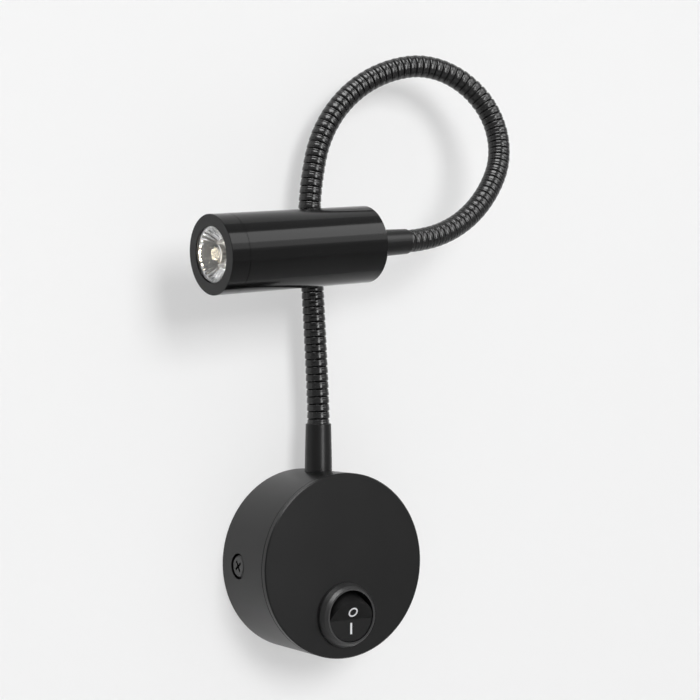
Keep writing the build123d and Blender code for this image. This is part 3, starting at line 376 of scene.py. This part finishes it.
def loose_course(route):
    """Smooth NURBS curve that is led by the route's points."""
    data = empty_course()
    spline = data.splines.new("NURBS")
    spline.points.add(len(route) - 1)
    for knot, point in zip(spline.points, route):
        knot.co = (*point, 1)
    spline.order_u = min(3, len(route))
    spline.use_endpoint_u = True
    return placed("course", data)


def built(name, source, tree, settings):
    """Plain mesh piece from a tree run on an object, which is then removed."""
    modifier = source.modifiers.new("tree", "NODES")
    modifier.node_group = tree
    named = {item.name: item.identifier for item in tree.interface.items_tree
             if item.item_type == "SOCKET" and item.in_out == "INPUT"}
    for key, value in settings.items():
        modifier[named[key]] = value
    bpy.context.view_layer.update()
    ready = source.evaluated_get(bpy.context.evaluated_depsgraph_get())
    mesh = bpy.data.meshes.new_from_object(ready)
    mesh.name = name
    source.modifiers.remove(modifier)
    bpy.data.objects.remove(source)
    piece = placed(name, mesh)
    for face in mesh.polygons:
        face.use_smooth = len(face.vertices) <= 4       # the flat caps have more
    mesh.set_sharp_from_angle(angle=TUBE_SHARP)
    return piece


def link_ends():
    """Ends of the links: the neck's lower end, each joint and the neck's upper end."""
    order = {name: place for place, name in enumerate(NECK_BODIES)}
    inner = sorted((order[joint["child"]], Vector(joint["pos_m"])) for joint in frame["joints"]
                   if joint["child"] in order)
    inner = [point for _, point in inner]
    pitch = (inner[1] - inner[0]).length
    low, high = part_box("led_emitter")
    into_head = ((Vector(low) + Vector(high)) / 2 - inner[-1]).normalized()
    return [inner[0] - UP * pitch] + inner + [inner[-1] + into_head * pitch]


def head_axis(ends):
    """Neck's upper end, and the direction from there along the head's axis."""
    return ends[-1], (ends[-1] - ends[-2]).normalized()


def neck(made, tree, ends):
    """Neck in blended lengths, each from the middle of one link to the middle of the next. The
    first and the last also have the half link that is left at the neck's end."""
    last = NECK_LINKS - 1
    for number in range(1, last + 1):
        joint = ends[number]
        start = (ends[number - 1] + joint) / 2
        stop = (joint + ends[number + 1]) / 2
        before, after = start.lerp(joint, HANDLE), stop.lerp(joint, HANDLE)
        corners = [(start, start, before), (stop, after, stop)]
        ribs = RIBS_PER_LINK
        if number == 1:
            foot = ends[0]
            third = (start - foot) / 3
            corners = [(foot, foot, foot + third), (start, start - third, before), corners[1]]
            ribs += RIBS_PER_LINK // 2
        if number == last:
            tip = ends[-1]
            third = (tip - stop) / 3
            corners = [corners[0], (stop, after, stop + third), (tip, tip - third, tip)]
            ribs += RIBS_PER_LINK // 2
        piece = built("neck_%02d_ribs" % number, bent_course(corners), tree, {
            "Ribs": ribs, "Rows": RIB_ROWS, "Sides": NECK_SIDES, "Groove Radius": GROOVE_RADIUS,
            "Rib Height": RIB_HEIGHT, "Finish": made["neck_black"]})
        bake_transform(piece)
        links = [number, NECK_LINKS] if number == last else [number]
        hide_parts(*["neck_link_%02d" % link for link in links])


# ---- lamp lead ----

LEAD_RADIUS = 0.9 * MM
LEAD_SIDES = 16
LEAD_ROWS = 60
LEAD_INTO_NECK = 3.0 * MM
LEAD_IN_HEAD = 63.7 * MM        # from the neck's end to the LED board
# points that the lead is led by in the base, from the driver to the neck: x, y, z in millimetres
BASE_ROUTE = ((14.96, -21.0, -4.4), (14.96, -21.0, -12.5), (19.96, -13.25, -9.0),
              (15.96, -13.25, 4.0), (0.0, -13.25, 10.0), (0.0, -12.9, 28.0))


def lamp_lead(made, tree, ends):
    """Ends of the lamp lead: in the base from the driver up into the neck, and through the head."""
    tip, along = head_axis(ends)
    in_base = [Vector(point) * MM for point in BASE_ROUTE] + [ends[0] + UP * LEAD_INTO_NECK]
    in_head = [tip - along * LEAD_INTO_NECK, tip + along * LEAD_IN_HEAD]
    for body, route in (("base", in_base), ("head", in_head)):
        piece = built("lamp_lead_" + body, loose_course(route), tree, {
            "Ribs": 1, "Rows": LEAD_ROWS, "Sides": LEAD_SIDES, "Groove Radius": LEAD_RADIUS,
            "Rib Height": 0.0, "Finish": made["lead_jacket"]})
        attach(piece, body)
        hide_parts("neck_lead")


# ---- lens ----

# stations of the lens from the neck's end, in millimetres: (along the head, radius)
LENS_FRONT = ((75.3, 9.15), (75.24, 9.29), (75.1, 9.35), (74.4, 9.35), (74.4, 10.1), (73.2, 10.1))
LENS_CONE = (73.2, 9.2, 65.4, 4.6)      # wide end and its radius, narrow end and its radius
LENS_SWELL = 1.6                        # how much the cone bulges, where 1 is straight
LENS_STATIONS = 12
LENS_POCKET = (3.1, 70.9, 1.2)          # radius, bottom, dome at the bottom
FLUTES = 32
FLUTE_DEPTH = 0.015                     # of the radius
FLUTE_RUN = 0.25                        # of the cone's length, where a flute fades at each end
FLUTE_STEPS = 10                        # points round one flute
LENS_SHARP = radians(30)


def lens_piece(made, ends):
    """Clear lens whose cone is fluted, with a pocket for the emitter behind it."""
    tip, along = head_axis(ends)
    side = along.cross(UP).normalized()
    above = side.cross(along)
    start, wide, stop, narrow = LENS_CONE
    pocket, bottom, dome = LENS_POCKET
    # rings from the front round to the pocket's bottom: place, radius and depth of the flutes
    rows = [(x, radius, 0.0) for x, radius in LENS_FRONT]
    for step in range(LENS_STATIONS + 1):
        share = step / LENS_STATIONS
        rows.append((start + (stop - start) * share, wide + (narrow - wide) * share ** LENS_SWELL,
                     FLUTE_DEPTH * min(1.0, share / FLUTE_RUN, (1 - share) / FLUTE_RUN)))
    rows.append((stop, pocket, 0.0))
    for step in range(LENS_STATIONS):
        share = 1 - step / LENS_STATIONS
        rows.append((bottom - dome * (1 - share ** 2), pocket * share, 0.0))
    count = FLUTES * FLUTE_STEPS
    shape = bmesh.new()
    rings = []
    for x, radius, flute in rows:
        ring = []
        for step in range(count):
            turn = 2 * pi * step / count
            reach = radius * (1 - flute * (0.5 - 0.5 * cos(turn * FLUTES)))
            ring.append(shape.verts.new(tip + (along * x + side * reach * cos(turn)
                                               + above * reach * sin(turn)) * MM))
        rings.append(ring)
    poles = [shape.verts.new(tip + along * x * MM) for x in (rows[0][0], bottom - dome)]
    for step in range(count):
        after = (step + 1) % count
        shape.faces.new((poles[0], rings[0][step], rings[0][after]))
        shape.faces.new((poles[1], rings[-1][after], rings[-1][step]))
        for row, following in zip(rings, rings[1:]):
            shape.faces.new((row[step], following[step], following[after], row[after]))
    bmesh.ops.recalc_face_normals(shape, faces=shape.faces)
    mesh = bpy.data.meshes.new("lens_clear")
    shape.to_mesh(mesh)
    shape.free()
    mesh.materials.append(made["clear_lens"])
    for face in mesh.polygons:
        face.use_smooth = True
    mesh.set_sharp_from_angle(angle=LENS_SHARP)
    piece = placed("lens_clear", mesh)
    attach(piece, "head")
    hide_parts("lens")


# ---- room ----

WALL_SIZE = 3.0
WALL_OPENING = 32.0 * MM        # hidden behind the base
WALL_STEPS = 64                 # points round the opening
WALL_LEVEL = 0.93
WALL_GLOW = 0.94                # pale background seen by the camera, in gloss and through glass
WALL_GLOW_SHARE = 0.45          # of what is seen there, the rest is lit paint
FLOOR_DROP = 1.1
FLOOR_LEVEL = 0.85
PAINT_DRIFT = 0.008             # how far the paint's level drifts each way
PAINT_CLOUDS = 3.0              # drifts in a metre
PAINT_ROUGHNESS = 0.9
PAINT_GLOSS = 0.1


def background_ray(tree):
    """1 where the camera, gloss or glass sees the background, 0 where it lights a surface."""
    path = add(tree, "ShaderNodeLightPath").outputs
    seen = maths(tree, "MAXIMUM", path["Is Camera Ray"], path["Is Glossy Ray"])
    return maths(tree, "MAXIMUM", seen, path["Is Transmission Ray"])


def room_finish(name, level, one_sided):
    """Matt pale paint. One that is one-sided is clear from behind and has the background's glow."""
    made = bpy.data.materials.new(name)
    made.use_nodes = True
    tree = made.node_tree
    surface = tree.nodes["Principled BSDF"]
    place = add(tree, "ShaderNodeTexCoord").outputs["Object"]
    cloud = add(tree, "ShaderNodeTexNoise", Vector=place, Scale=PAINT_CLOUDS, Detail=1.0)
    dark, light = (level - PAINT_DRIFT,) * 3, (level + PAINT_DRIFT,) * 3
    wire(tree, mixture(tree, cloud.outputs["Fac"], dark, light), surface.inputs["Base Color"])
    surface.inputs["Roughness"].default_value = PAINT_ROUGHNESS
    surface.inputs["Specular IOR Level"].default_value = PAINT_GLOSS
    if one_sided:
        glow = add(tree, "ShaderNodeEmission", Color=WHITE, Strength=WALL_GLOW)
        share = maths(tree, "MULTIPLY", background_ray(tree), WALL_GLOW_SHARE)
        paint = add(tree, "ShaderNodeMixShader", Fac=share)
        wire(tree, surface.outputs[0], paint.inputs[1])
        wire(tree, glow.outputs[0], paint.inputs[2])
        side = add(tree, "ShaderNodeNewGeometry").outputs["Backfacing"]
        clear = tree.nodes.new("ShaderNodeBsdfTransparent")
        mixed = add(tree, "ShaderNodeMixShader", Fac=side)
        wire(tree, paint.outputs[0], mixed.inputs[1])
        wire(tree, clear.outputs[0], mixed.inputs[2])
        wire(tree, mixed.outputs[0], tree.nodes["Material Output"].inputs["Surface"])
    return made


def staged(name, shape, material):
    """Part of the room from a shape, which is then freed."""
    mesh = bpy.data.meshes.new(name)
    shape.to_mesh(mesh)
    shape.free()
    mesh.materials.append(material)
    placed(name, mesh)


def room():
    """Wall behind the lamp, with an opening that the base hides, and a floor far below."""
    wall = bmesh.new()
    turns = [2 * pi * step / WALL_STEPS for step in range(WALL_STEPS)]
    inner = [wall.verts.new((WALL_OPENING * cos(a), 0, WALL_OPENING * sin(a))) for a in turns]
    outer = []
    for a in turns:
        reach = WALL_SIZE / max(abs(cos(a)), abs(sin(a)))
        outer.append(wall.verts.new((reach * cos(a), 0, max(reach * sin(a), -FLOOR_DROP))))
    for step in range(WALL_STEPS):
        after = (step + 1) % WALL_STEPS
        wall.faces.new((inner[step], outer[step], outer[after], inner[after]))
    staged("wall", wall, room_finish("wall_paint", WALL_LEVEL, True))
    floor = bmesh.new()
    floor.faces.new([floor.verts.new((x * WALL_SIZE, y * WALL_SIZE, -FLOOR_DROP))
                     for x, y in ((-1, -1), (1, -1), (1, 1), (-1, 1))])
    staged("floor", floor, room_finish("floor_paint", FLOOR_LEVEL, False))


# ---- light ----

# panels of light round the lamp: name, direction from its middle, distance, width, height, watts,
# whether it lights surfaces, and whether it is seen in their gloss
PANELS = (
    ("key", Vector((-0.06, -1.0, 0.36)), 1.6, 0.6, 0.6, 15.0, True, False),
    ("overhead", Vector((-0.31, -0.37, 0.86)), 1.4, 0.9, 0.9, 20.0, False, True),
    ("high_card", Vector((0.51, -0.6, 0.64)), 1.5, 1.0, 0.64, 6.5, False, True),
    ("low_card", Vector((0.51, -0.6, 0.29)), 1.5, 1.0, 0.42, 1.9, False, True),
    ("front_card", Vector((0.14, -0.98, 0.12)), 1.7, 0.46, 1.3, 16.0, False, True),
)
PANELS_AIM = Vector((0.0, -0.03, 0.08))
WORLD_ZENITH = 0.5
WORLD_HORIZON = 0.36
WORLD_SEEN = 0.5                # pale background seen by the camera, in gloss and through glass


def panels():
    """Lamps, each facing the middle of the object."""
    for name, direction, distance, width, height, watts, lights, glossy in PANELS:
        data = bpy.data.lights.new(name, "AREA")
        data.shape = "RECTANGLE"
        data.size, data.size_y = width, height
        data.energy = watts
        made = placed(name, data)
        way = direction.normalized()
        made.matrix_world = Matrix.Translation(PANELS_AIM + way * distance) @ facing(-way)
        made.visible_diffuse = lights
        made.visible_glossy = glossy


def sky():
    """Soft light from all round, stronger from above, and a pale background where it is seen."""
    world = bpy.data.worlds.new("room light")
    world.use_nodes = True
    tree = world.node_tree
    way = add(tree, "ShaderNodeTexCoord").outputs["Generated"]
    height = add(tree, "ShaderNodeSeparateXYZ", Vector=way).outputs["Z"]
    strength = add(tree, "ShaderNodeMix", {"data_type": "FLOAT"}, Factor=background_ray(tree),
                   A=spread(tree, height, WORLD_HORIZON, WORLD_ZENITH), B=WORLD_SEEN)
    background = tree.nodes["Background"]
    background.inputs["Color"].default_value = WHITE
    wire(tree, strength.outputs["Result"], background.inputs["Strength"])
    bpy.context.scene.world = world


# ---- scene ----

camera()
made = finishes()
for part in frame["record"]["subparts"]:
    for slot in frame["nodes"][part["node"]].material_slots:
        slot.material = made[part["material_slot"]]
tube = ribbed_tube()
ends = link_ends()
neck(made, tube, ends)
lamp_lead(made, tube, ends)
lens_piece(made, ends)
room()
panels()
sky()
bpy.context.scene.view_settings.view_transform = "Standard"
